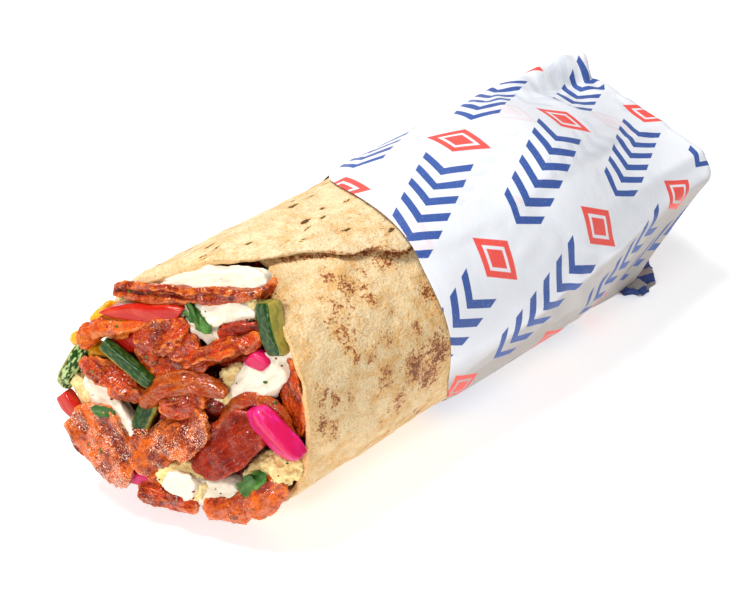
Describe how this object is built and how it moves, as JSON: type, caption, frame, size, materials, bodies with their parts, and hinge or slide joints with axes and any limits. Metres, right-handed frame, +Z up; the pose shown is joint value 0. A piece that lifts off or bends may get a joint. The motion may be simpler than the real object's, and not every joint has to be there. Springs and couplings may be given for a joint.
{
  "type": "doner kebab sandwich",
  "caption": "Rolled flatbread wrap with sliced meat, vegetables and sauce at its open end, held in a printed paper sleeve.",
  "frame": {"origin": "on the surface the wrap lies on, under the middle of its box", "axes": "+X along the wrap from its open end to the folded end of the sleeve, +Y away from the near side, +Z up"},
  "size_m": [0.1949, 0.0698, 0.0691],
  "materials": {
    "bread": "matte, toasted in spots",
    "paper": "satin waxed paper with a blue and red print",
    "filling": "moist",
    "meat": "oily, browned",
    "onion": "oily",
    "tomato": "wet",
    "pepper": "wet",
    "cucumber": "wet",
    "turnip": "wet",
    "sauce": "creamy",
    "hummus": "crumbly",
    "parsley": "leafy"
  },
  "bodies": {
    "root": {"cucumber_centre": "cucumber", "cucumber_left": "cucumber", "cucumber_right": "cucumber", "cucumber_stick": "cucumber", "flatbread": "bread", "hummus_centre": "hummus", "hummus_curl": "hummus", "hummus_left": "hummus", "hummus_right": "hummus", "hummus_speck": "hummus", "hummus_top": "hummus", "meat_bottom_right_strip": "meat", "meat_bottom_slice": "meat", "meat_centre_slice": "meat", "meat_dark_strip": "meat", "meat_left_slice": "meat", "meat_left_strip": "meat", "meat_long_strip": "meat", "meat_lumpy_chunk": "meat", "meat_pepper_side_strip": "meat", "meat_rim_slice": "meat", "meat_small_chunk": "meat", "meat_smooth_slice": "meat", "meat_top_strip": "meat", "meat_under_strip": "meat", "meat_upper_dark_strip": "meat", "onion_arch_centre": "onion", "onion_arch_right": "onion", "packed_filling": "filling", "paper_sleeve": "paper", "parsley_bottom": "parsley", "parsley_left": "parsley", "parsley_top": "parsley", "pepper_left": "pepper", "pepper_upper": "pepper", "sauce_bottom": "sauce", "sauce_left": "sauce", "sauce_right": "sauce", "sauce_top": "sauce", "sauce_upper": "sauce", "tomato_left": "tomato", "tomato_long": "tomato", "tomato_upper": "tomato", "turnip_bottom": "turnip", "turnip_large": "turnip", "turnip_small": "turnip", "turnip_speck": "turnip"}
  },
  "joints": []
}
